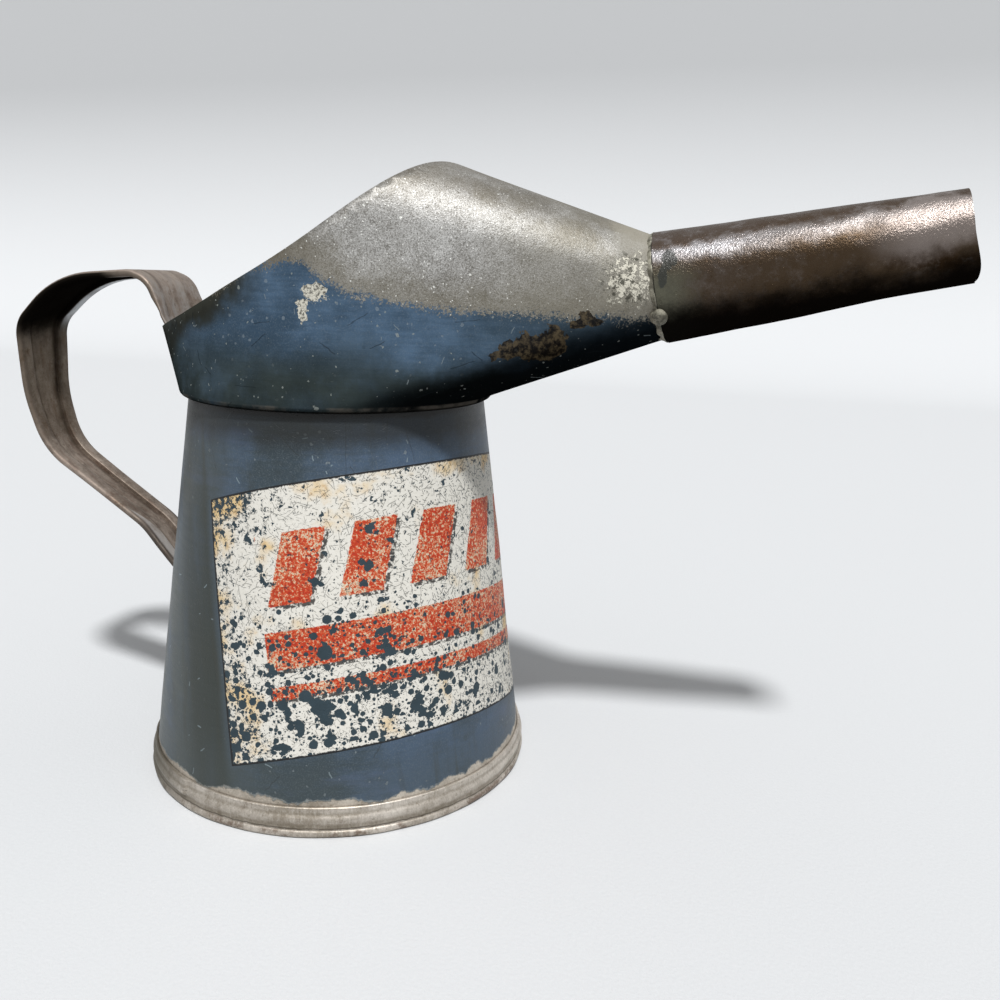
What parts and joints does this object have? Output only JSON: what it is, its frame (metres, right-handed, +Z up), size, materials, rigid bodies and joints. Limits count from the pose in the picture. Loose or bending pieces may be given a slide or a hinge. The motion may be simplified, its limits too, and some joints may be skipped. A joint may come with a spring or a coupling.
{
  "type": "oil pourer",
  "caption": "Tapered can of soldered tinplate with a strap handle and a slanted open hood that runs into a long pouring nozzle.",
  "frame": {"origin": "on the floor, under the middle of the whole pourer's length and width", "axes": "+X from the handle towards the nozzle's end, +Y across the pourer, +Z up"},
  "size_m": [0.3078, 0.1298, 0.1969],
  "materials": {
    "blue_paint": "worn satin paint",
    "seam_solder": "dull solder",
    "bare_tin_foot": "bare, dirty tinplate",
    "base_tin": "dull tinplate",
    "base_solder": "dull solder",
    "hood_tin": "bare tinplate above, worn paint below",
    "neck_solder": "dull solder",
    "nozzle_tin": "brown patina",
    "joint_solder": "pale solder",
    "handle_tin": "bare, browned tinplate",
    "top_solder": "dull solder",
    "tail_solder": "dull solder"
  },
  "bodies": {
    "root": {"body_shell": "blue_paint", "side_seam_solder": "seam_solder", "foot_band": "bare_tin_foot", "base_plate": "base_tin", "base_solder": "base_solder", "pouring_hood": "hood_tin", "neck_solder": "neck_solder", "spout_nozzle": "nozzle_tin", "nozzle_solder": "joint_solder", "handle_strap": "handle_tin", "handle_top_solder": "top_solder", "handle_bottom_solder": "tail_solder"}
  },
  "joints": []
}
